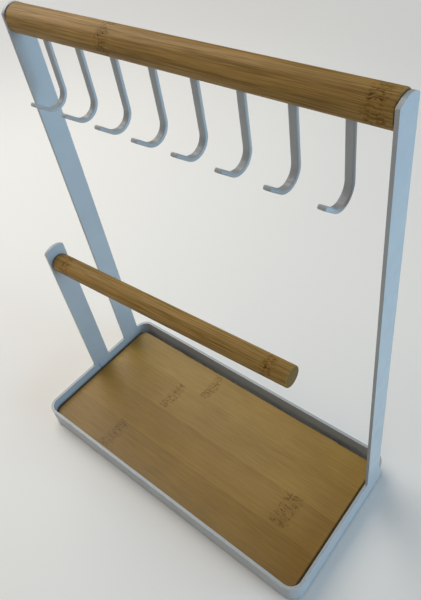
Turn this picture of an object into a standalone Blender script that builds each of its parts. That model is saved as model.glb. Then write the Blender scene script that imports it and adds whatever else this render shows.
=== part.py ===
"""Table stand of bent steel strip and bamboo: a shallow tray, two uprights with
a hook bar across their tops, and a short arm that carries one free-ended rod.

Frame: +X runs along the hook bar, left to right, +Y points to the back, +Z up.
The origin is on the table, under the centre of the tray.  Metres throughout.
"""
import math

import bmesh
import bpy
from mathutils import Vector

# --- driving dimensions -----------------------------------------------------
STAND_WIDTH = 0.250         # over the outer faces of the tray rim and uprights
STAND_DEPTH = 0.117
STEEL = 0.0021              # thickness of every steel strip but the hooks
FIT_GAP = 0.0003            # between pieces that touch or are welded

RIM_HEIGHT = 0.0175
RIM_CORNER_RADIUS = 0.010
FOOT_LIFT = 0.001           # the rim's lower edge over the table
SEAM_Y = -0.0015            # where the rim strip's two ends meet, on the left side

UPRIGHT_WIDTH = 0.016       # front to back
UPRIGHT_Y = 0.039           # its centre line
UPRIGHT_SHOULDER_Z = 0.304  # where the straight edges end
CROWN_RISE = 0.0028         # of the arc that closes the right upright or the arm
LEFT_CROWN_RISE = 0.0043    # the left upright's end is rounder
ARM_Y = 0.0027
ARM_SHOULDER_Z = 0.1471

BAR_RADIUS = 0.0084
BAR_Z = 0.2997
ROD_RADIUS = 0.0072
ROD_Z = 0.1345
ROD_LENGTH = 0.2045
ROD_YAW = math.radians(2.3)  # the rod points slightly backwards on its one screw
DOWEL_CHAMFER = 0.0006

HOOK_COUNT = 8
HOOK_PITCH = 0.0287
HOOK_WIDTH = 0.0048         # along the bar
HOOK_THICKNESS = 0.0024
HOOK_BEND_RADIUS = 0.0092   # of the strip's middle
HOOK_BEND_Z = 0.2611        # height of the bend's centre
HOOK_TURN = math.radians(130)
HOOK_TIP_LENGTH = 0.0103    # straight part past the bend
TANG_LENGTH = 0.0085        # shank inside the bar, from the bar's underside up

PIN_RADIUS = 0.002
PIN_LENGTH = 0.012
PIN_CHAMFER = 0.0004
SCREW_RADIUS = 0.00175
SCREW_LENGTH = 0.022
SCREW_HEAD_RADIUS = 0.0034
SCREW_HEAD_DEPTH = 0.0015
SCREW_POINT = 0.0026        # length of its tapered tip

BOARD_LENGTH = 0.240
BOARD_DEPTH = 0.1068
BOARD_THICKNESS = 0.008
BOARD_TOP_Z = 0.0115
BOARD_SHIFT_Y = -0.0020     # the loose board lies forward in its tray
BOARD_CORNER_RADIUS = 0.006

STRAP_WIDTH = 0.012
STRAP_THICKNESS = 0.002
STRAP_X = 0.080
FOOT_RADIUS = 0.005
FOOT_Y = 0.044
FOOT_EDGE = 0.0003

RADIAL_STEPS = 40
CORNER_STEPS = 8
CROWN_STEPS = 12
HOOK_STEPS = 14
CUTTER_OVERSHOOT = 0.001    # of a cutter past the face that it opens

# --- sizes that follow -------------------------------------------------------
HALF_WIDTH = STAND_WIDTH / 2
HALF_DEPTH = STAND_DEPTH / 2
INNER_X = HALF_WIDTH - STEEL
RIM_TOP_Z = FOOT_LIFT + RIM_HEIGHT
BOARD_BOTTOM_Z = BOARD_TOP_Z - BOARD_THICKNESS
STRAP_TOP_Z = BOARD_BOTTOM_Z - FIT_GAP
BAR_HALF_LENGTH = INNER_X - FIT_GAP

WHITE_PAINT = ("white_paint", (0.72, 0.76, 0.79), 0.45, 0.0)
BAMBOO = ("bamboo", (0.42, 0.27, 0.13), 0.55, 0.0)
BAMBOO_BOARD = ("bamboo_board", (0.50, 0.36, 0.19), 0.50, 0.0)
ZINC = ("zinc", (0.62, 0.63, 0.64), 0.35, 1.0)
RUBBER = ("clear_rubber", (0.55, 0.55, 0.53), 0.60, 0.0)


# --- scene helpers -----------------------------------------------------------
def clear_scene():
    for old in list(bpy.data.objects):
        bpy.data.objects.remove(old, do_unlink=True)


def new_collection(name):
    collection = bpy.data.collections.new(name)
    bpy.context.scene.collection.children.link(collection)
    return collection


def material(spec):
    name, colour, roughness, metallic = spec
    found = bpy.data.materials.get(name)
    if found:
        return found
    made = bpy.data.materials.new(name)
    made.use_nodes = True
    shader = made.node_tree.nodes["Principled BSDF"]
    shader.inputs["Base Color"].default_value = (*colour, 1.0)
    shader.inputs["Roughness"].default_value = roughness
    shader.inputs["Metallic"].default_value = metallic
    made.diffuse_color = (*colour, 1.0)
    return made


def add_object(name, data, spec=None):
    """Put new object data in the parts collection, or, with no material, in the cutters."""
    made = bpy.data.objects.new(name, data)
    if spec:
        data.materials.append(material(spec))
        PARTS.objects.link(made)
    else:
        CUTTERS.objects.link(made)
        made.hide_render = True
        made.display_type = "WIRE"
    return made


def block(name, size, centre, spec=None):
    shape = bmesh.new()
    bmesh.ops.create_cube(shape, size=1.0)
    bmesh.ops.scale(shape, vec=Vector(size), verts=shape.verts)
    mesh = bpy.data.meshes.new(name)
    shape.to_mesh(mesh)
    shape.free()
    made = add_object(name, mesh, spec)
    made.location = centre
    return made


def turned(name, profile, spec=None):
    """Revolve (radius, height) points about Z; the profile runs top to bottom."""
    mesh = bpy.data.meshes.new(name)
    mesh.from_pydata([(r, 0, z) for r, z in profile], [(i, i + 1) for i in range(len(profile) - 1)], [])
    made = add_object(name, mesh, spec)
    screw = made.modifiers.new("turn", "SCREW")
    screw.steps = RADIAL_STEPS
    screw.render_steps = RADIAL_STEPS
    screw.use_merge_vertices = True
    screw.merge_threshold = 0.00001
    screw.use_smooth_shade = True
    return made


def lay_along_x(made, x, y, z, yaw=0.0):
    """Stand a turned piece's +Z along +X, swung by yaw towards +Y."""
    made.rotation_mode = "XYZ"
    made.rotation_euler = (0, math.pi / 2, yaw)
    made.location = (x, y, z)


def flat_outline(name, points, half_thickness, spec):
    """A closed outline in the object's XY plane, thickened both ways along its Z."""
    curve = bpy.data.curves.new(name, "CURVE")
    curve.dimensions = "2D"
    curve.fill_mode = "BOTH"
    curve.extrude = half_thickness
    line = curve.splines.new("POLY")
    line.points.add(len(points) - 1)
    for point, (u, v) in zip(line.points, points):
        point.co = (u, v, 0, 1)
    line.use_cyclic_u = True
    return add_object(name, curve, spec)


def as_mesh(made):
    """Swap a curve object for a closed mesh object of the same name and place."""
    bpy.context.view_layer.update()
    evaluated = made.evaluated_get(bpy.context.evaluated_depsgraph_get())
    mesh = bpy.data.meshes.new_from_object(evaluated)
    shape = bmesh.new()
    shape.from_mesh(mesh)
    bmesh.ops.remove_doubles(shape, verts=shape.verts, dist=0.000001)
    shape.to_mesh(mesh)
    shape.free()
    name = made.name
    place = made.matrix_world.copy()
    bpy.data.objects.remove(made, do_unlink=True)
    solid = bpy.data.objects.new(name, mesh)
    PARTS.objects.link(solid)
    solid.matrix_world = place
    return solid


def cut(made, cutter):
    boolean = made.modifiers.new("cut", "BOOLEAN")
    boolean.operation = "DIFFERENCE"
    boolean.solver = "EXACT"
    boolean.object = cutter


# --- outlines ----------------------------------------------------------------
def arc(centre, radius, start, end, steps):
    for step in range(steps + 1):
        angle = start + (end - start) * step / steps
        yield (centre[0] + radius * math.cos(angle), centre[1] + radius * math.sin(angle))


def rounded_rectangle(half_x, half_y, radius):
    """Corner points anticlockwise, from the right end of the back edge."""
    corners = ((1, 1), (-1, 1), (-1, -1), (1, -1))
    points = []
    for turn, (sx, sy) in enumerate(corners):
        centre = (sx * (half_x - radius), sy * (half_y - radius))
        points += arc(centre, radius, turn * math.pi / 2, (turn + 1) * math.pi / 2, CORNER_STEPS)
    return points


def crowned_strip(foot_z, shoulder_z, rise):
    """Outline of an upright across its width: square foot, shallow arc on top."""
    half = UPRIGHT_WIDTH / 2
    radius = (half ** 2 + rise ** 2) / (2 * rise)
    spread = math.asin(half / radius)
    centre = (0, shoulder_z + rise - radius)
    crown = arc(centre, radius, math.pi / 2 - spread, math.pi / 2 + spread, CROWN_STEPS)
    return [(-half, foot_z), (half, foot_z), *crown]


def hook_centre_line():
    """(y, z) points and headings of the strip's middle, from tang to tip, about the bar's axis."""
    points = [((0.0, TANG_LENGTH - BAR_RADIUS), (0.0, -1.0))]
    bend = (-HOOK_BEND_RADIUS, HOOK_BEND_Z - BAR_Z)
    for step in range(HOOK_STEPS + 1):
        turn = HOOK_TURN * step / HOOK_STEPS
        place = (bend[0] + HOOK_BEND_RADIUS * math.cos(turn), bend[1] - HOOK_BEND_RADIUS * math.sin(turn))
        points.append((place, (-math.sin(turn), -math.cos(turn))))
    (y, z), (heading_y, heading_z) = points[-1]
    tip = (y + HOOK_TIP_LENGTH * heading_y, z + HOOK_TIP_LENGTH * heading_z)
    points.append((tip, (heading_y, heading_z)))
    return points


def hook_outline():
    half = HOOK_THICKNESS / 2
    line = hook_centre_line()
    inner = [(y + half * hz, z - half * hy) for (y, z), (hy, hz) in line]
    outer = [(y - half * hz, z + half * hy) for (y, z), (hy, hz) in reversed(line)]
    return inner + outer


# --- the steel frame -----------------------------------------------------------
def make_rim():
    """One strip bent round the tray, its ends meeting in a butt seam under the arm."""
    loop = rounded_rectangle(HALF_WIDTH, HALF_DEPTH, RIM_CORNER_RADIUS)
    first_after_seam = 2 * (CORNER_STEPS + 1)
    path = loop[first_after_seam:] + loop[:first_after_seam]
    half_seam = FIT_GAP / 2
    path = [(-HALF_WIDTH, SEAM_Y - half_seam), *path, (-HALF_WIDTH, SEAM_Y + half_seam)]
    shape = bmesh.new()
    low = [shape.verts.new((x, y, FOOT_LIFT)) for x, y in path]
    high = [shape.verts.new((x, y, RIM_TOP_Z)) for x, y in path]
    for i in range(len(path) - 1):
        shape.faces.new((low[i], low[i + 1], high[i + 1], high[i]))
    mesh = bpy.data.meshes.new("rim_band")
    shape.to_mesh(mesh)
    shape.free()
    rim = add_object("rim_band", mesh, WHITE_PAINT)
    wall = rim.modifiers.new("strip", "SOLIDIFY")
    wall.thickness = STEEL
    wall.offset = -1.0
    wall.use_even_offset = True


def make_upright(name, x, y, shoulder_z, rise=CROWN_RISE):
    """A flat strip that stands on the rim's top edge, flush with both rim faces."""
    outline = crowned_strip(RIM_TOP_Z + FIT_GAP, shoulder_z, rise)
    strip = flat_outline(name, outline, STEEL / 2, WHITE_PAINT)
    strip.rotation_euler = (math.pi / 2, 0, math.pi / 2)
    strip.location = (x, y, 0)
    return strip


def make_arm():
    arm = as_mesh(make_upright("rod_arm", -HALF_WIDTH + STEEL / 2, ARM_Y, ARM_SHOULDER_Z))
    head = SCREW_HEAD_RADIUS + FIT_GAP
    shank = SCREW_RADIUS + FIT_GAP
    far = STEEL + CUTTER_OVERSHOOT
    sink = turned("arm_countersink", [
        (0, far), (shank, far), (shank, SCREW_HEAD_DEPTH + FIT_GAP),
        (head, FIT_GAP), (head, -CUTTER_OVERSHOOT), (0, -CUTTER_OVERSHOOT)])
    lay_along_x(sink, -HALF_WIDTH, ARM_Y, ROD_Z)
    cut(arm, sink)


def make_bar_pin(name, side):
    """A stub welded on an upright's inner face, which holds one end of the bar."""
    pin = turned(name, [
        (0, PIN_LENGTH), (PIN_RADIUS - PIN_CHAMFER, PIN_LENGTH), (PIN_RADIUS, PIN_LENGTH - PIN_CHAMFER),
        (PIN_RADIUS, 0), (0, 0)], WHITE_PAINT)
    lay_along_x(pin, side * (INNER_X - FIT_GAP), UPRIGHT_Y, BAR_Z)
    if side > 0:
        pin.rotation_euler.y = -math.pi / 2


def make_strap(name, x):
    """A flat strip under the board, welded across the rim from front to back."""
    length = STAND_DEPTH - 2 * (STEEL + FIT_GAP)
    block(name, (STRAP_WIDTH, length, STRAP_THICKNESS), (x, 0, STRAP_TOP_Z - STRAP_THICKNESS / 2), WHITE_PAINT)


def make_foot(name, x, y):
    top = STRAP_TOP_Z - STRAP_THICKNESS - FIT_GAP
    foot = turned(name, [
        (0, top), (FOOT_RADIUS, top), (FOOT_RADIUS, FOOT_EDGE), (FOOT_RADIUS - FOOT_EDGE, 0), (0, 0)], RUBBER)
    foot.location = (x, y, 0)


# --- the wooden pieces ---------------------------------------------------------
def dowel_profile(radius, top, bottom, top_hole=None, bottom_hole=None):
    """Outline of a dowel from top to bottom, with blind (radius, depth) holes in its ends."""
    edge = DOWEL_CHAMFER
    profile = [(radius - edge, top), (radius, top - edge), (radius, bottom + edge), (radius - edge, bottom)]
    if top_hole:
        hole, depth = top_hole
        profile = [(0, top - depth), (hole, top - depth), (hole, top)] + profile
    else:
        profile = [(0, top)] + profile
    if bottom_hole:
        hole, depth = bottom_hole
        profile += [(hole, bottom), (hole, bottom + depth), (0, bottom + depth)]
    else:
        profile += [(0, bottom)]
    return profile


def hook_x(index):
    return (index - (HOOK_COUNT - 1) / 2) * HOOK_PITCH


def make_bar():
    hole = (PIN_RADIUS + FIT_GAP, PIN_LENGTH + FIT_GAP)
    bar = turned("top_bar", dowel_profile(BAR_RADIUS, BAR_HALF_LENGTH, -BAR_HALF_LENGTH, hole, hole), BAMBOO)
    lay_along_x(bar, 0, UPRIGHT_Y, BAR_Z)
    size = (
        HOOK_WIDTH + 2 * FIT_GAP, HOOK_THICKNESS + 2 * FIT_GAP,
        TANG_LENGTH + FIT_GAP + CUTTER_OVERSHOOT)
    middle_z = BAR_Z - BAR_RADIUS - CUTTER_OVERSHOOT + size[2] / 2
    for index in range(HOOK_COUNT):
        cut(bar, block(f"mortise_{index + 1}", size, (hook_x(index), UPRIGHT_Y, middle_z)))


def make_rod():
    hole = (SCREW_RADIUS + FIT_GAP, SCREW_LENGTH)
    rod = turned("hanging_rod", dowel_profile(ROD_RADIUS, ROD_LENGTH, 0, bottom_hole=hole), BAMBOO)
    clear_of_arm = FIT_GAP + ROD_RADIUS * math.sin(ROD_YAW)
    lay_along_x(rod, -INNER_X + clear_of_arm, ARM_Y, ROD_Z, ROD_YAW)


def make_board():
    outline = rounded_rectangle(BOARD_LENGTH / 2, BOARD_DEPTH / 2, BOARD_CORNER_RADIUS)
    board = flat_outline("board", outline, BOARD_THICKNESS / 2, BAMBOO_BOARD)
    board.location = (0, BOARD_SHIFT_Y, BOARD_TOP_Z - BOARD_THICKNESS / 2)


# --- hooks and screw -------------------------------------------------------------
def make_hooks():
    first = None
    for index in range(HOOK_COUNT):
        name = f"hook_{index + 1}"
        if first is None:
            hook = flat_outline(name, hook_outline(), HOOK_WIDTH / 2, WHITE_PAINT)
            first = hook
        else:
            hook = bpy.data.objects.new(name, first.data)
            PARTS.objects.link(hook)
        hook.rotation_euler = (math.pi / 2, 0, math.pi / 2)
        hook.location = (hook_x(index), UPRIGHT_Y, BAR_Z)


def make_rod_screw():
    """A countersunk wood screw, put in from the arm's outer face."""
    screw = turned("rod_screw", [
        (0, SCREW_LENGTH), (SCREW_RADIUS, SCREW_LENGTH - SCREW_POINT), (SCREW_RADIUS, SCREW_HEAD_DEPTH),
        (SCREW_HEAD_RADIUS, 0), (0, 0)], ZINC)
    lay_along_x(screw, -HALF_WIDTH + FIT_GAP, ARM_Y, ROD_Z, ROD_YAW)


clear_scene()
PARTS = new_collection("mug_tree")
CUTTERS = new_collection("cutters")

make_rim()
make_upright("left_upright", -HALF_WIDTH + STEEL / 2, UPRIGHT_Y, UPRIGHT_SHOULDER_Z, LEFT_CROWN_RISE)
make_upright("right_upright", HALF_WIDTH - STEEL / 2, UPRIGHT_Y, UPRIGHT_SHOULDER_Z)
make_arm()
make_bar_pin("left_bar_pin", -1)
make_bar_pin("right_bar_pin", 1)
make_strap("left_strap", -STRAP_X)
make_strap("right_strap", STRAP_X)
for side, sx in (("left", -1), ("right", 1)):
    make_foot(f"front_{side}_foot", sx * STRAP_X, -FOOT_Y)
    make_foot(f"back_{side}_foot", sx * STRAP_X, FOOT_Y)
make_bar()
make_rod()
make_board()
make_hooks()
make_rod_screw()
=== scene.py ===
"""Looks of the steel and bamboo hook stand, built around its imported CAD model.

Metres throughout, +X along the hook bar, +Y to the back, +Z up.  Places and sizes come from
the CAD nodes' boxes; the named values below are the rest: radii, finishes, camera and lights.
"""
import math

import bmesh
import bpy
from mathutils import Matrix, Vector


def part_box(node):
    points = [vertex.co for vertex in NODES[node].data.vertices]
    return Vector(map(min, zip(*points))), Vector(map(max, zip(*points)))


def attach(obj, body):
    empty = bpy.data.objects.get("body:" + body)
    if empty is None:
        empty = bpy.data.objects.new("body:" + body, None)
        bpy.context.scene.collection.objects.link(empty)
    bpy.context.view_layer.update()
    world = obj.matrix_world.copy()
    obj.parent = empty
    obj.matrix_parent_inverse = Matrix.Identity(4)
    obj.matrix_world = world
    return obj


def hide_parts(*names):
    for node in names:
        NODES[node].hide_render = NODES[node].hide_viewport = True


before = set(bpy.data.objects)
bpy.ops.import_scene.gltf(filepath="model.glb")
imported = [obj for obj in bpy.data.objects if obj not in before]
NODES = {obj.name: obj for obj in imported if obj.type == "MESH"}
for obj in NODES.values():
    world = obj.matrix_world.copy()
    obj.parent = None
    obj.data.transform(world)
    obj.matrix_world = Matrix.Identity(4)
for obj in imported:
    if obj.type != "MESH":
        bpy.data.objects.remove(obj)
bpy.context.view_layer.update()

# --- shapes -----------------------------------------------------------------------
RIM_CORNER_RADIUS = 0.010
FOOT_FILLET = 0.0015        # where a strip rises from the rim
# Rise of the arc that closes each strip's top.
CROWN_RISE = {"left_upright": 0.0043, "rod_arm": 0.0028, "right_upright": 0.0028}
SHEET_EDGE = 0.00055        # rounding of every cut steel edge under its paint
STRAP_EDGE = 0.0004
SEAM_Y = -0.0015            # butt seam of the rim strip, on the left side
SEAM_WIDTH = 0.0004
SEAM_DEPTH = 0.0006

HOOK_COUNT = 8
HOOK_BEND_RADIUS = 0.0092   # of the strip's middle
HOOK_BEND_Z = 0.2611
HOOK_TURN = math.radians(130)
HOOK_TIP_LENGTH = 0.0103
HOOK_THICKNESS = 0.0024
HOOK_EDGE = 0.0008

ROD_YAW = math.radians(2.3)
DOWEL_EDGE = 0.0009
PIN_HOLE_RADIUS = 0.0023
PIN_HOLE_DEPTH = 0.0123
BOARD_CORNER_RADIUS = 0.006
BOARD_EDGE = 0.0007

SCREW_HEAD_RADIUS = 0.0034
SCREW_HEAD_DEPTH = 0.0015
SCREW_HEAD_EDGE = 0.0002
SCREW_SHANK_RADIUS = 0.00175
SCREW_POINT = 0.0026        # length of its tapered tip
SCREW_HOLE_DEPTH = 0.022
CROSS_ARM = 0.0018          # half the length of the driver's cross
CROSS_SLIT = 0.00045        # half its width
CROSS_DEPTH = 0.0011

CLEARANCE = 0.0003
OVERSHOOT = 0.001           # of a cutter past the face that it opens
SAME_PLACE = 0.0000001      # points closer than this are one
DIGITS = 7                  # the same, in decimals

CORNER_STEPS = 20
FILLET_STEPS = 6
CROWN_STEPS = 24
HOOK_STEPS = 44
ROUND_STEPS = 96
SCREW_STEPS = 48
EDGE_STEPS = 5
BEVEL_STEPS = 3
BEVEL_ANGLE = math.radians(50)      # an edge that turns more than this is rounded
STEEL_CREASE = math.radians(50)     # and one that turns more than this is shaded sharp
BAMBOO_CREASE = math.radians(40)
SCREW_CREASE = math.radians(30)

# --- camera -----------------------------------------------------------------------
CAMERA_PLACE = Vector((0.2105, -0.1529, 0.4132))
CAMERA_AIM = Vector((-0.0011, 0.0643, 0.120))
CAMERA_ROLL = math.radians(-8.7)
CAMERA_SENSOR = 36          # mm, the picture's long side
CAMERA_LENS = 35.37         # mm
CAMERA_SHIFT = (-0.0492, -0.0217)
CAMERA_NEAR = 0.01

# --- finishes: colours are linear, and patterns' scales are in cells per metre ----------------
PAINT_LIGHT = (0.400, 0.425, 0.440, 1)
PAINT_SHADE = (0.378, 0.402, 0.418, 1)
PAINT_TINT = 28
PAINT_SCUFFS = 90
PAINT_PEEL = 1400
RUBBER = (0.42, 0.42, 0.40, 1)
ZINC = (0.62, 0.63, 0.64, 1)

BAMBOO_TONES = ((0.200, 0.113, 0.024, 1), (0.396, 0.240, 0.075, 1))     # dark, light
BOARD_TONES = ((0.285, 0.170, 0.031, 1), (0.355, 0.218, 0.048, 1))
STRIP_TONES_AND_SHADE = (             # tints of the board's glued strips, front to back: their own tones, darkened towards the front as painted shade
    (0.75, 0.69, 0.57, 1), (0.85, 0.79, 0.67, 1), (0.99, 0.97, 0.93, 1), (1.06, 1.07, 1.08, 1))
GLUE_TINT = (0.55, 0.5, 0.45, 1)
GLUE_WIDTH = 0.0003
STREAK_SHADE = 0.42         # of the darkest fibres, against a bamboo's dark tone
END_SHADE = 0.82            # of its end grain
SMALL_PART_SHADE = 0.82
DOWEL_GRAIN = (0.20, 0.38, 0.42)    # shares of the broad, medium and fine fibres
BOARD_GRAIN = (0.10, 0.20, 0.70)
BROAD_FIBRES = (5, 260)     # scales along and across the fibres
MEDIUM_FIBRES = (16, 900)
FINE_FIBRES = (55, 3200)
STREAKS = (26, 1300)
NODE_STROKES = (360, 1150)
NODE_KNOTS = (380, 820)
END_PORES = (200, 1250, 1250)
CLOUDS = 22
DRIFT_SCALE = 14
DRIFT = 0.0015              # how far fibres wander sideways over the whole piece
SWIRL_SCALE = 260
SWIRL = 0.0016              # and inside a node mark

NODE_EDGE = 420             # scale of a node mark's ragged edge
NODE_BOW = 0.0016           # how far a node mark curves along the fibres by its ends
NODE_HAZE = (0.97, 0.95, 0.87, 1)
NODE_DARK = (0.58, 0.52, 0.26, 1)
NODE_KNOT = (0.48, 0.40, 0.20, 1)
BAR_MARKS = ((0.0827, 0, 0.0045, 0.02), (0.2370, 0, 0.0050, 0.02))
ROD_MARKS = ((0.012, 0, 0.0045, 0.02), (0.190, 0, 0.0040, 0.02))
BOARD_MARKS = (
    (-0.047, 0.0145, 0.0050, 0.0135), (-0.024, 0.0395, 0.0045, 0.0130),
    (-0.062, -0.0385, 0.0050, 0.0135), (0.087, -0.0115, 0.0070, 0.0135))

# --- studio -----------------------------------------------------------------------
FLOOR_END = 1.6             # the floor fades into the pale surroundings from FLOOR_FADE out to here
FLOOR_FADE = 0.5
FLOOR_STEPS = 96
FLOOR_CLOUDS = 3
FLOOR_LIGHT = (0.86, 0.85, 0.83, 1)
FLOOR_SHADE = (0.83, 0.82, 0.80, 1)
AMBIENT = 0.13
AMBIENT_COLOUR = (1.0, 0.98, 0.95, 1)
BACKDROP = 0.78             # how bright the surroundings look behind the floor's edge
LIGHTS = (                  # name, place, aim, side, power in watts, colour
    ("top", (-0.62, 0.15, 0.95), (0, 0, 0.1), 0.9, 8.3, (1.0, 0.955, 0.88)),
    ("right", (2.4, 0.55, 0.35), (0, 0, 0.1), 1.5, 59, (0.44, 0.735, 1.0)),
    ("front", (0.2, -1.2, 0.95), (0, 0, 0.15), 1.0, 3.0, (1.0, 0.93, 0.82)),
    ("left", (-1.4, -0.1, 0.6), (0, 0, 0.15), 0.9, 4, (0.88, 0.95, 1.0)),
    ("back", (0.7, 1.3, 0.6), (0, 0, 0.15), 1.0, 3.5, (1.0, 1.0, 1.0)))


# --- mesh helpers -----------------------------------------------------------------
def new_object(name, data):
    made = bpy.data.objects.new(name, data)
    bpy.context.scene.collection.objects.link(made)
    return made


def mesh_from(name, shape):
    mesh = bpy.data.meshes.new(name)
    bmesh.ops.recalc_face_normals(shape, faces=shape.faces)
    shape.to_mesh(mesh)
    shape.free()
    mesh.polygons.foreach_set("use_smooth", [True] * len(mesh.polygons))
    return mesh


def thicken(sheet, thickness, offset):
    wall = sheet.modifiers.new("strip", "SOLIDIFY")
    wall.thickness = thickness
    wall.offset = offset
    wall.use_even_offset = True


def round_edges(piece, width):
    bevel = piece.modifiers.new("round", "BEVEL")
    bevel.width = width
    bevel.segments = BEVEL_STEPS
    bevel.limit_method = "ANGLE"
    bevel.angle_limit = BEVEL_ANGLE
    bevel.miter_outer = "MITER_ARC"


def even_normals(piece):
    normals = piece.modifiers.new("normals", "WEIGHTED_NORMAL")
    normals.keep_sharp = True


def sharpen(piece, angle):
    piece.data.set_sharp_from_angle(angle=angle)


def cut(piece, cutter):
    boolean = piece.modifiers.new("cut", "BOOLEAN")
    boolean.operation = "DIFFERENCE"
    boolean.solver = "EXACT"
    boolean.object = cutter


def bake_modifiers(piece, *cutters):
    """Apply a piece's modifiers to its mesh and drop the cutters they used."""
    evaluated = piece.evaluated_get(bpy.context.evaluated_depsgraph_get())
    mesh = bpy.data.meshes.new_from_object(evaluated)
    piece.modifiers.clear()
    piece.data = mesh
    for cutter in cutters:
        bpy.data.objects.remove(cutter, do_unlink=True)


def arc(centre, radius, start, end, steps):
    for step in range(steps + 1):
        angle = start + (end - start) * step / steps
        yield (centre[0] + radius * math.cos(angle), centre[1] + radius * math.sin(angle))


def box_cutter(low, high):
    shape = bmesh.new()
    bmesh.ops.create_cube(shape, size=1.0)
    bmesh.ops.scale(shape, vec=Vector(high) - Vector(low), verts=shape.verts)
    bmesh.ops.translate(shape, vec=(Vector(high) + Vector(low)) / 2, verts=shape.verts)
    return new_object("cutter", mesh_from("cutter", shape))


def lathe(name, profile, steps):
    """Turn (x, radius) points about the object's X axis; radius 0 closes an end."""
    shape = bmesh.new()
    turns = [2 * math.pi * step / steps for step in range(steps)]
    rings = []
    for x, radius in profile:
        if radius == 0:
            rings.append([shape.verts.new((x, 0, 0))])
            continue
        rings.append([shape.verts.new((x, radius * math.cos(t), radius * math.sin(t))) for t in turns])
    for ring, after in zip(rings, rings[1:]):
        for step in range(steps):
            following = (step + 1) % steps
            corners = [
                ring[step % len(ring)], ring[following % len(ring)],
                after[following % len(after)], after[step % len(after)]]
            shape.faces.new(list(dict.fromkeys(corners)))
    return new_object(name, mesh_from(name, shape))


# --- the steel strips -------------------------------------------------------------
def rounded_rectangle(half_x, half_y, radius, steps):
    """Corner arcs of a rounded rectangle, anticlockwise from the right end of its back edge."""
    for turn, (sx, sy) in enumerate(((1, 1), (-1, 1), (-1, -1), (1, -1))):
        centre = (sx * (half_x - radius), sy * (half_y - radius))
        yield list(arc(centre, radius, turn * math.pi / 2, (turn + 1) * math.pi / 2, steps))


def tab_outline(length, rim_top, shoulder_z, rise):
    """(along, z) points of a strip that rises from the rim's edge.

    They run from its far fillet over the crown to the near fillet.
    """
    fillet = FOOT_FILLET
    half = length / 2 - fillet
    radius = (half ** 2 + rise ** 2) / (2 * rise)
    spread = math.asin(half / radius)
    crown_centre = (length / 2, shoulder_z + rise - radius)
    far = list(arc((length, rim_top + fillet), fillet, -math.pi / 2, -math.pi, FILLET_STEPS))
    crown = list(arc(crown_centre, radius, math.pi / 2 - spread, math.pi / 2 + spread, CROWN_STEPS))
    near = list(arc((0, rim_top + fillet), fillet, 0, -math.pi / 2, FILLET_STEPS))
    return far[1:] + crown + near[:-1]


def rounded_off(point):
    return (round(point[0], DIGITS), round(point[1], DIGITS))


def strip_feet():
    """Each rising strip's two ends on the rim's path, its shoulder's height and its crown's rise."""
    feet = {}
    for name, rise in CROWN_RISE.items():
        low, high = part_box(name)
        on_left = low.x < 0
        outer_x = low.x if on_left else high.x
        ends = [rounded_off((outer_x, y)) for y in (low.y - FOOT_FILLET, high.y + FOOT_FILLET)]
        if on_left:
            ends.reverse()
        feet[name] = (ends, high.z - rise, rise)
    return feet


def steel_sheet():
    """The whole frame as one folded sheet: the tray's rim with three strips rising from its ends."""
    rim_low, rim_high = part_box("rim_band")
    feet = strip_feet()
    back_right, back_left, front_left, front_right = rounded_rectangle(
        rim_high.x, rim_high.y, RIM_CORNER_RADIUS, CORNER_STEPS)
    left = feet["left_upright"][0] + feet["rod_arm"][0]
    right = feet["right_upright"][0]
    path = back_right + back_left + left + front_left + front_right + right
    path = list(dict.fromkeys(rounded_off(point) for point in path))

    shape = bmesh.new()
    low_row = [shape.verts.new((x, y, rim_low.z)) for x, y in path]
    high_row = [shape.verts.new((x, y, rim_high.z)) for x, y in path]
    for i in range(len(path)):
        after = (i + 1) % len(path)
        shape.faces.new((low_row[i], low_row[after], high_row[after], high_row[i]))
    for ends, shoulder_z, rise in feet.values():
        first, last = (path.index(end) for end in ends)
        start = high_row[first].co
        along = (high_row[last].co - start).normalized()
        length = (high_row[last].co - start).length
        edge = [shape.verts.new(Vector((start.x, start.y, z)) + along * u)
                for u, z in tab_outline(length, rim_high.z, shoulder_z, rise)]
        shape.faces.new([high_row[first], high_row[last], *edge])
    mesh = bpy.data.meshes.new("steel_sheet")
    shape.to_mesh(mesh)
    shape.free()
    return new_object("steel_sheet", mesh)


def part_of_sheet(sheet, name, node, side, keep):
    """Cut the sheet at the fillets' top and keep the rim below, or one strip above."""
    cut_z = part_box("rim_band")[1].z + FOOT_FILLET
    shape = bmesh.new()
    shape.from_mesh(sheet.data)
    bmesh.ops.bisect_plane(
        shape, geom=shape.verts[:] + shape.edges[:] + shape.faces[:], dist=SAME_PLACE,
        plane_co=(0, 0, cut_z), plane_no=(0, 0, side), clear_inner=True)
    unwanted = [v for v in shape.verts if not keep(v.co)]
    bmesh.ops.delete(shape, geom=unwanted, context="VERTS")
    bmesh.ops.holes_fill(shape, edges=[e for e in shape.edges if e.is_boundary], sides=0)
    piece = new_object(name, mesh_from(name, shape))
    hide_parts(node)
    return piece


def cut_seam(rim, steel):
    """A fine groove in both faces of the rim, where the bent strip's ends meet."""
    low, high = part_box("rim_band")
    for face_x in (low.x, low.x + steel):
        groove = box_cutter(
            (face_x - SEAM_DEPTH, SEAM_Y - SEAM_WIDTH / 2, low.z - CLEARANCE),
            (face_x + SEAM_DEPTH, SEAM_Y + SEAM_WIDTH / 2, high.z + CLEARANCE))
        cut(rim, groove)
        bake_modifiers(rim, groove)


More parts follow.
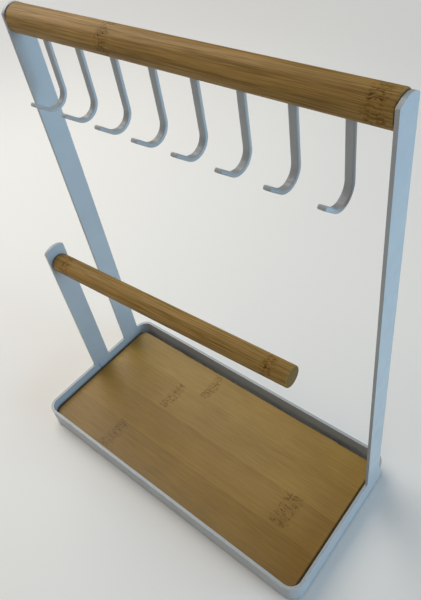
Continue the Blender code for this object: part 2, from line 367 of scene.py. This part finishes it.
def cut_countersink(arm, steel):
    low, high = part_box("rod_arm")
    rod_z = sum(corner.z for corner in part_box("hanging_rod")) / 2
    head = SCREW_HEAD_RADIUS + CLEARANCE
    shank = SCREW_SHANK_RADIUS + CLEARANCE
    sink = lathe("sink", [
        (-OVERSHOOT, 0), (-OVERSHOOT, head), (CLEARANCE, head), (SCREW_HEAD_DEPTH + CLEARANCE, shank),
        (steel + OVERSHOOT, shank), (steel + OVERSHOOT, 0)], SCREW_STEPS)
    sink.location = (low.x, (low.y + high.y) / 2, rod_z)
    bpy.context.view_layer.update()
    cut(arm, sink)
    bake_modifiers(arm, sink)


def make_steel():
    sheet = steel_sheet()
    upright_low, upright_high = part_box("left_upright")
    steel = upright_high.x - upright_low.x
    thicken(sheet, steel, -1.0)
    round_edges(sheet, SHEET_EDGE)
    bake_modifiers(sheet)

    between = (upright_low.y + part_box("rod_arm")[1].y) / 2
    rim = part_of_sheet(sheet, "rim_strip", "rim_band", -1, lambda at: True)
    cut_seam(rim, steel)
    left = part_of_sheet(
        sheet, "left_upright_strip", "left_upright", 1, lambda at: at.x < 0 and at.y > between)
    right = part_of_sheet(sheet, "right_upright_strip", "right_upright", 1, lambda at: at.x > 0)
    arm = part_of_sheet(sheet, "arm_strip", "rod_arm", 1, lambda at: at.x < 0 and at.y < between)
    bpy.data.objects.remove(sheet, do_unlink=True)
    cut_countersink(arm, steel)
    for piece in (rim, left, right, arm):
        sharpen(piece, STEEL_CREASE)
        even_normals(piece)
    return [rim, left, right, arm]


# --- hooks ------------------------------------------------------------------------
def hook_line(top_z, root_y):
    """(y, z) points of a hook strip's middle, from its tang's top to its tip."""
    points = [(root_y, top_z)]
    centre = (root_y - HOOK_BEND_RADIUS, HOOK_BEND_Z)
    points += arc(centre, HOOK_BEND_RADIUS, 0, -HOOK_TURN, HOOK_STEPS)
    heading = (-math.sin(HOOK_TURN), -math.cos(HOOK_TURN))
    y, z = points[-1]
    points.append((y + HOOK_TIP_LENGTH * heading[0], z + HOOK_TIP_LENGTH * heading[1]))
    return points


def make_hook(number):
    node = f"hook_{number}"
    low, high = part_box(node)
    line = hook_line(high.z, high.y - HOOK_THICKNESS / 2)
    shape = bmesh.new()
    rows = [[shape.verts.new((x, y, z)) for x in (low.x, high.x)] for y, z in line]
    for row, after in zip(rows, rows[1:]):
        shape.faces.new((row[0], row[1], after[1], after[0]))
    hook = new_object(f"{node}_strip", mesh_from(node, shape))
    thicken(hook, HOOK_THICKNESS, 0.0)
    round_edges(hook, HOOK_EDGE)
    even_normals(hook)
    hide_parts(node)
    return hook


# --- bamboo pieces ----------------------------------------------------------------
def dowel(name, length, radius, near_hole, far_hole):
    """A dowel along +X from the origin; a hole is a (radius, depth) pair or None."""
    edge = DOWEL_EDGE
    near = list(arc((edge, radius - edge), edge, math.pi, math.pi / 2, EDGE_STEPS))
    far = [(length - x, r) for x, r in reversed(near)]
    start = [(0, 0)]
    if near_hole:
        hole, depth = near_hole
        start = [(depth, 0), (depth, hole), (0, hole)]
    end = [(length, 0)]
    if far_hole:
        hole, depth = far_hole
        end = [(length, hole), (length - depth, hole), (length - depth, 0)]
    made = lathe(name, start + near + far + end, ROUND_STEPS)
    sharpen(made, BAMBOO_CREASE)
    return made


def make_bar():
    low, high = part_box("top_bar")
    radius = (high.z - low.z) / 2
    hole = (PIN_HOLE_RADIUS, PIN_HOLE_DEPTH)
    bar = dowel("hook_bar", high.x - low.x, radius, hole, hole)
    bar.location = (low.x, (low.y + high.y) / 2, (low.z + high.z) / 2)
    bpy.context.view_layer.update()
    gap = CLEARANCE / 2
    cutters = []
    for number in range(1, HOOK_COUNT + 1):
        hook_low, hook_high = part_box(f"hook_{number}")
        tang = box_cutter(
            (hook_low.x - gap, hook_high.y - HOOK_THICKNESS - gap, low.z - OVERSHOOT),
            (hook_high.x + gap, hook_high.y + gap, hook_high.z + gap))
        cut(bar, tang)
        cutters.append(tang)
    bake_modifiers(bar, *cutters)
    sharpen(bar, BAMBOO_CREASE)
    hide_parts("top_bar")
    return bar


def make_rod():
    low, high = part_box("hanging_rod")
    radius = (high.z - low.z) / 2
    tilt = radius * math.sin(ROD_YAW)   # how far an end's rim reaches past its centre
    length = (high.x - low.x - 2 * tilt) / math.cos(ROD_YAW)
    hole = (SCREW_SHANK_RADIUS + CLEARANCE, SCREW_HOLE_DEPTH)
    rod = dowel("rod_dowel", length, radius, hole, None)
    rod.rotation_euler = (0, 0, ROD_YAW)
    rod.location = (low.x + tilt, low.y + radius * math.cos(ROD_YAW), (low.z + high.z) / 2)
    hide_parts("hanging_rod")
    return rod


def make_board():
    low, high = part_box("board")
    half = (high - low) / 2
    corners = rounded_rectangle(half.x, half.y, BOARD_CORNER_RADIUS, CORNER_STEPS)
    outline = [point for corner in corners for point in corner]
    shape = bmesh.new()
    bottom = shape.faces.new([shape.verts.new((x, y, -half.z)) for x, y in outline])
    raised = bmesh.ops.extrude_face_region(shape, geom=[bottom])["geom"]
    raised = [v for v in raised if isinstance(v, bmesh.types.BMVert)]
    bmesh.ops.translate(shape, vec=(0, 0, 2 * half.z), verts=raised)
    board = new_object("tray_board", mesh_from("tray_board", shape))
    board.location = (low + high) / 2
    round_edges(board, BOARD_EDGE)
    even_normals(board)
    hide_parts("board")
    return board


# --- the rod's screw --------------------------------------------------------------
def make_screw():
    low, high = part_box("rod_screw")
    screw = lathe("cross_screw", [
        (0, 0), (0, SCREW_HEAD_RADIUS - SCREW_HEAD_EDGE), (SCREW_HEAD_EDGE, SCREW_HEAD_RADIUS),
        (SCREW_HEAD_DEPTH, SCREW_SHANK_RADIUS), (high.x - low.x - SCREW_POINT, SCREW_SHANK_RADIUS),
        (high.x - low.x, 0)], SCREW_STEPS)
    screw.location = (low.x, sum(c.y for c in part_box("rod_arm")) / 2, (low.z + high.z) / 2)
    screw.rotation_euler = (0, 0, ROD_YAW)
    bpy.context.view_layer.update()
    for half_y, half_z in ((CROSS_ARM, CROSS_SLIT), (CROSS_SLIT, CROSS_ARM)):
        half = Vector((CROSS_DEPTH, half_y, half_z))
        slit = box_cutter(screw.location - half, screw.location + half)
        cut(screw, slit)
        bake_modifiers(screw, slit)
    sharpen(screw, SCREW_CREASE)
    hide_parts("rod_screw")
    return screw


# --- materials --------------------------------------------------------------------
class Shader:
    """A material's node tree, with short calls for the nodes used here."""

    def __init__(self, name, roughness, **fixed):
        self.material = bpy.data.materials.new(name)
        self.material.use_nodes = True
        self.tree = self.material.node_tree
        self.surface = self.tree.nodes["Principled BSDF"]
        self.surface.inputs["Roughness"].default_value = roughness
        for socket, value in fixed.items():
            self.surface.inputs[socket.replace("_", " ")].default_value = value
        self.place = self.tree.nodes.new("ShaderNodeTexCoord").outputs

    def feed(self, socket, value):
        if isinstance(value, bpy.types.NodeSocket):
            self.tree.links.new(value, socket)
        else:
            socket.default_value = value

    def math(self, operation, a, b=0.0, c=0.0):
        made = self.tree.nodes.new("ShaderNodeMath")
        made.operation = operation
        for socket, value in zip(made.inputs, (a, b, c)):
            self.feed(socket, value)
        return made.outputs[0]

    def split(self, vector):
        made = self.tree.nodes.new("ShaderNodeSeparateXYZ")
        self.feed(made.inputs[0], vector)
        return made.outputs

    def join(self, x, y, z):
        made = self.tree.nodes.new("ShaderNodeCombineXYZ")
        for socket, value in zip(made.inputs, (x, y, z)):
            self.feed(socket, value)
        return made.outputs[0]

    def multiply(self, vector, scales):
        made = self.tree.nodes.new("ShaderNodeVectorMath")
        made.operation = "MULTIPLY"
        self.feed(made.inputs[0], vector)
        self.feed(made.inputs[1], scales)
        return made.outputs["Vector"]

    def noise(self, at, scale, detail):
        made = self.tree.nodes.new("ShaderNodeTexNoise")
        self.feed(made.inputs["Vector"], at)
        made.inputs["Scale"].default_value = scale
        made.inputs["Detail"].default_value = detail
        return made.outputs["Fac"]

    def wander(self, at, scale, detail, reach):
        """Noise about zero, from -reach / 2 to reach / 2."""
        noise = self.noise(at, scale, detail)
        return self.math("MULTIPLY", self.math("SUBTRACT", noise, 0.5), reach)

    def spots(self, at, small, large):
        """A dot in about half of the cells of a unit grid: 1 inside it, 0 outside."""
        made = self.tree.nodes.new("ShaderNodeTexVoronoi")
        self.feed(made.inputs["Vector"], at)
        made.inputs["Scale"].default_value = 1.0
        chosen = self.ease(self.split(made.outputs["Color"])[0], 0.45, 0.5)
        return self.math("MULTIPLY", self.fade(made.outputs["Distance"], small, large), chosen)

    def ease(self, value, low, high, out_low=0.0, out_high=1.0):
        """out_low up to low, out_high from high on, and a smooth rise or fall between."""
        made = self.tree.nodes.new("ShaderNodeMapRange")
        made.interpolation_type = "SMOOTHSTEP"
        self.feed(made.inputs["Value"], value)
        made.inputs["From Min"].default_value = low
        made.inputs["From Max"].default_value = high
        made.inputs["To Min"].default_value = out_low
        made.inputs["To Max"].default_value = out_high
        return made.outputs["Result"]

    def fade(self, value, low, high):
        return self.ease(value, low, high, 1.0, 0.0)

    def mix(self, share, a, b, blend="MIX"):
        made = self.tree.nodes.new("ShaderNodeMix")
        made.data_type = "RGBA"
        made.blend_type = blend
        self.feed(made.inputs[0], share)
        first, second = (socket for socket in made.inputs if socket.type == "RGBA")
        self.feed(first, a)
        self.feed(second, b)
        return next(socket for socket in made.outputs if socket.type == "RGBA")

    def bump(self, height, strength, distance):
        made = self.tree.nodes.new("ShaderNodeBump")
        made.inputs["Strength"].default_value = strength
        made.inputs["Distance"].default_value = distance
        self.feed(made.inputs["Height"], height)
        self.feed(self.surface.inputs["Normal"], made.outputs["Normal"])

    def colour(self, value):
        self.feed(self.surface.inputs["Base Color"], value)

    def roughness(self, value):
        self.feed(self.surface.inputs["Roughness"], value)


def shaded(colour, share):
    return tuple(share * c for c in colour[:3]) + (1,)


def paint():
    """Satin powder coat: a faint orange peel, slow changes of tint and a few dull scuffs."""
    look = Shader("white_paint", 0.36)
    at = look.place["Object"]
    tint = look.ease(look.noise(at, PAINT_TINT, 3), 0.3, 0.7)
    look.colour(look.mix(tint, PAINT_SHADE, PAINT_LIGHT))
    look.roughness(look.ease(look.noise(at, PAINT_SCUFFS, 4), 0.35, 0.75, 0.28, 0.42))
    look.bump(look.noise(at, PAINT_PEEL, 2), 0.22, 0.0002)
    return look.material


def node_marks(look, at, marks):
    """1 in a bamboo's culm nodes, ragged bands bowed across the fibres, and 0 elsewhere."""
    x, y = look.split(at)[:2]
    near_node = 0.0
    for mark_x, mark_y, half_x, half_y in marks:
        across = look.math("DIVIDE", look.math("SUBTRACT", y, mark_y), half_y)
        bow = look.math("MULTIPLY", look.math("MULTIPLY", across, across), NODE_BOW)
        along = look.math("DIVIDE", look.math("ADD", look.math("SUBTRACT", x, mark_x), bow), half_x)
        ragged = look.wander(at, NODE_EDGE, 3, 1.6)
        distance = look.math("ADD", look.math("ABSOLUTE", along), ragged)
        inside = look.fade(look.math("ABSOLUTE", across), 0.86, 1.0)
        band = look.math("MULTIPLY", look.fade(distance, 0.5, 1.25), inside)
        near_node = look.math("MAXIMUM", near_node, band)
    return near_node


def fibre_space(look, at, near_node):
    """A call for places squeezed by the scales along and across fibres that lie along X."""
    x, y, z = look.split(at)
    swirl = look.math("MULTIPLY", look.wander(at, SWIRL_SCALE, 1, SWIRL), near_node)
    drift = look.wander(at, DRIFT_SCALE, 1, DRIFT)
    side_y = look.math("ADD", look.math("ADD", y, swirl), drift)
    side_z = look.math("ADD", z, swirl)

    def stretched(scales):
        along, across = scales
        return look.join(
            look.math("MULTIPLY", x, along), look.math("MULTIPLY", side_y, across),
            look.math("MULTIPLY", side_z, across))

    return stretched


def end_grain(look, at, colour, dark, darker):
    """The same bamboo's colour with its sawn ends in pores."""
    on_end = look.ease(look.math("ABSOLUTE", look.split(look.place["Normal"])[0]), 0.80, 0.95)
    pores = look.spots(look.multiply(at, END_PORES), 0.20, 0.42)
    sawn = look.mix(look.math("MULTIPLY", pores, 0.75), shaded(dark, END_SHADE), darker)
    return look.mix(on_end, colour, sawn)


def bamboo(name, tones, weights, streaks, marks, strips=None, roughness=0.52, gloss=0.14):
    """Bamboo with its fibres along X.

    tones run dark to light, weights are the shares of its broad, medium and fine fibres, streaks
    is the strength of the dark ones, a mark is a culm node's (x, y, half length, half width),
    strips tints the colour by y, and gloss is the surface's specular level.
    """
    look = Shader(name, roughness, Specular_IOR_Level=gloss)
    at = look.place["Object"]
    dark, light = tones
    darker = shaded(dark, STREAK_SHADE)
    near_node = node_marks(look, at, marks)
    stretched = fibre_space(look, at, near_node)

    broad = look.noise(stretched(BROAD_FIBRES), 1.0, 1)
    medium = look.noise(stretched(MEDIUM_FIBRES), 1.0, 2)
    fine = look.noise(stretched(FINE_FIBRES), 1.0, 2)
    grain = look.math("MULTIPLY", broad, weights[0])
    grain = look.math("ADD", grain, look.math("MULTIPLY", medium, weights[1]))
    grain = look.math("ADD", grain, look.math("MULTIPLY", fine, weights[2]))
    colour = look.mix(look.ease(grain, 0.37, 0.63), dark, light)
    cloud = look.ease(look.noise(at, CLOUDS, 2), 0.3, 0.7, 0.93, 1.05)
    colour = look.mix(1.0, colour, look.join(cloud, cloud, cloud), "MULTIPLY")
    if strips:
        colour = look.mix(1.0, colour, strips(look, at), "MULTIPLY")
    dashes = look.ease(look.noise(stretched(STREAKS), 1.0, 1), 0.60, 0.74)
    strength = look.math("MULTIPLY_ADD", near_node, 0.4, streaks)
    colour = look.mix(look.math("MULTIPLY", dashes, strength), colour, darker)

    strokes = look.ease(look.noise(stretched(NODE_STROKES), 1.0, 1), 0.49, 0.58)
    strokes = look.math("MULTIPLY", strokes, near_node)
    knots = look.math("MULTIPLY", look.spots(stretched(NODE_KNOTS), 0.22, 0.42), near_node)
    colour = look.mix(near_node, colour, NODE_HAZE, "MULTIPLY")
    colour = look.mix(look.math("MULTIPLY", strokes, 0.75), colour, NODE_DARK, "MULTIPLY")
    colour = look.mix(knots, colour, NODE_KNOT, "MULTIPLY")
    look.colour(end_grain(look, at, colour, dark, darker))

    look.roughness(look.ease(grain, 0.3, 0.7, roughness + 0.08, roughness - 0.06))
    height = look.math("SUBTRACT", look.math("ADD", medium, fine), look.math("MULTIPLY", dashes, 0.6))
    height = look.math("SUBTRACT", height, look.math("MAXIMUM", strokes, knots))
    look.bump(height, 0.25, 0.00012)
    return look.material


def board_strips_and_shade(look, at):
    """Glued strips side by side, each of its own tone, with a thin glue line between them; the tones
    also darken towards the front as painted shade.
    """
    low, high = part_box("board")
    width = (high.y - low.y) / len(STRIP_TONES_AND_SHADE)
    sharp = GLUE_WIDTH / 3
    y = look.split(at)[1]
    # the strips' tones hold painted shade: darker towards the front, lighter towards the back
    shade = STRIP_TONES_AND_SHADE[0]
    for edge, tone in zip((-width, 0.0, width), STRIP_TONES_AND_SHADE[1:]):
        shade = look.mix(look.ease(y, edge - sharp, edge + sharp), shade, tone)
        line = look.fade(look.math("ABSOLUTE", look.math("SUBTRACT", y, edge)), sharp, GLUE_WIDTH)
        shade = look.mix(look.math("MULTIPLY", line, 0.25), shade, GLUE_TINT)
    return shade


def plain(name, colour, roughness, metallic, scale, depth):
    """A small part's finish: one colour, slightly clouded, with a fine surface texture."""
    look = Shader(name, roughness, Metallic=metallic)
    at = look.place["Object"]
    look.colour(look.mix(look.noise(at, scale / 8, 3), shaded(colour, SMALL_PART_SHADE), colour))
    look.bump(look.noise(at, scale, 2), 0.3, depth)
    return look.material


def finish_with(pieces, material):
    for piece in pieces:
        piece.data.materials.clear()
        piece.data.materials.append(material)


# --- studio -----------------------------------------------------------------------
def make_camera():
    forward = (CAMERA_AIM - CAMERA_PLACE).normalized()
    level = forward.cross(Vector((0, 0, 1))).normalized()
    upright = level.cross(forward)
    right = math.cos(CAMERA_ROLL) * level + math.sin(CAMERA_ROLL) * upright
    up = right.cross(forward)
    camera = new_object("camera", bpy.data.cameras.new("camera"))
    turn = Matrix((right, up, -forward)).transposed()
    camera.matrix_world = Matrix.Translation(CAMERA_PLACE) @ turn.to_4x4()
    camera.data.sensor_width = CAMERA_SENSOR
    camera.data.lens = CAMERA_LENS
    camera.data.shift_x, camera.data.shift_y = CAMERA_SHIFT
    camera.data.clip_start = CAMERA_NEAR
    bpy.context.scene.camera = camera


def make_floor():
    shape = bmesh.new()
    bmesh.ops.create_circle(shape, cap_ends=True, segments=FLOOR_STEPS, radius=FLOOR_END)
    floor = new_object("floor", mesh_from("floor", shape))
    look = Shader("floor", 0.75)
    at = look.place["Object"]
    look.colour(look.mix(look.noise(at, FLOOR_CLOUDS, 2), FLOOR_SHADE, FLOOR_LIGHT))
    x, y = look.split(at)[:2]
    squares = look.math("ADD", look.math("MULTIPLY", x, x), look.math("MULTIPLY", y, y))
    solid = look.fade(look.math("SQRT", squares), FLOOR_FADE, FLOOR_END)
    look.feed(look.surface.inputs["Alpha"], solid)
    finish_with([floor], look.material)


def make_world():
    """A dim even light that looks pale where the camera sees it directly."""
    world = bpy.data.worlds.new("studio")
    bpy.context.scene.world = world
    world.use_nodes = True
    nodes = world.node_tree.nodes
    seen = nodes.new("ShaderNodeLightPath").outputs["Is Camera Ray"]
    strength = nodes.new("ShaderNodeMapRange")
    strength.inputs["To Min"].default_value = AMBIENT
    strength.inputs["To Max"].default_value = BACKDROP
    background = nodes["Background"]
    background.inputs["Color"].default_value = AMBIENT_COLOUR
    world.node_tree.links.new(seen, strength.inputs["Value"])
    world.node_tree.links.new(strength.outputs["Result"], background.inputs["Strength"])


def area_light(name, place, aim, side, power, colour):
    data = bpy.data.lights.new(name, "AREA")
    data.shape = "SQUARE"
    data.size = side
    data.energy = power
    data.color = colour
    light = new_object(name, data)
    light.location = place
    light.rotation_euler = (Vector(aim) - Vector(place)).to_track_quat("-Z", "Y").to_euler()


# --- the scene --------------------------------------------------------------------
bpy.context.scene.view_settings.view_transform = "Standard"
make_camera()
make_floor()
make_world()
for light in LIGHTS:
    area_light(*light)

steel_pieces = make_steel()
hooks = [make_hook(number) for number in range(1, HOOK_COUNT + 1)]
bar = make_bar()
rod = make_rod()
board = make_board()
screw = make_screw()

straps = [NODES[f"{side}_strap"] for side in ("left", "right")]
pins = [NODES[f"{side}_bar_pin"] for side in ("left", "right")]
feet = [NODES[f"{end}_{side}_foot"] for end in ("front", "back") for side in ("left", "right")]
for strap in straps:
    round_edges(strap, STRAP_EDGE)

finish_with(steel_pieces + hooks + straps + pins, paint())
finish_with(feet, plain("clear_rubber", RUBBER, 0.55, 0.0, 900, 0.0001))
finish_with([screw], plain("zinc", ZINC, 0.32, 1.0, 2500, 0.00003))
finish_with([bar], bamboo("bamboo_bar", BAMBOO_TONES, DOWEL_GRAIN, 0.30, BAR_MARKS))
finish_with([rod], bamboo("bamboo_rod", BAMBOO_TONES, DOWEL_GRAIN, 0.50, ROD_MARKS))
finish_with([board], bamboo(
    "bamboo_board", BOARD_TONES, BOARD_GRAIN, 0.12, BOARD_MARKS, board_strips_and_shade, 0.35, 0.30))

for piece in steel_pieces + hooks + [bar, rod, screw]:
    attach(piece, "frame")
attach(board, "board")
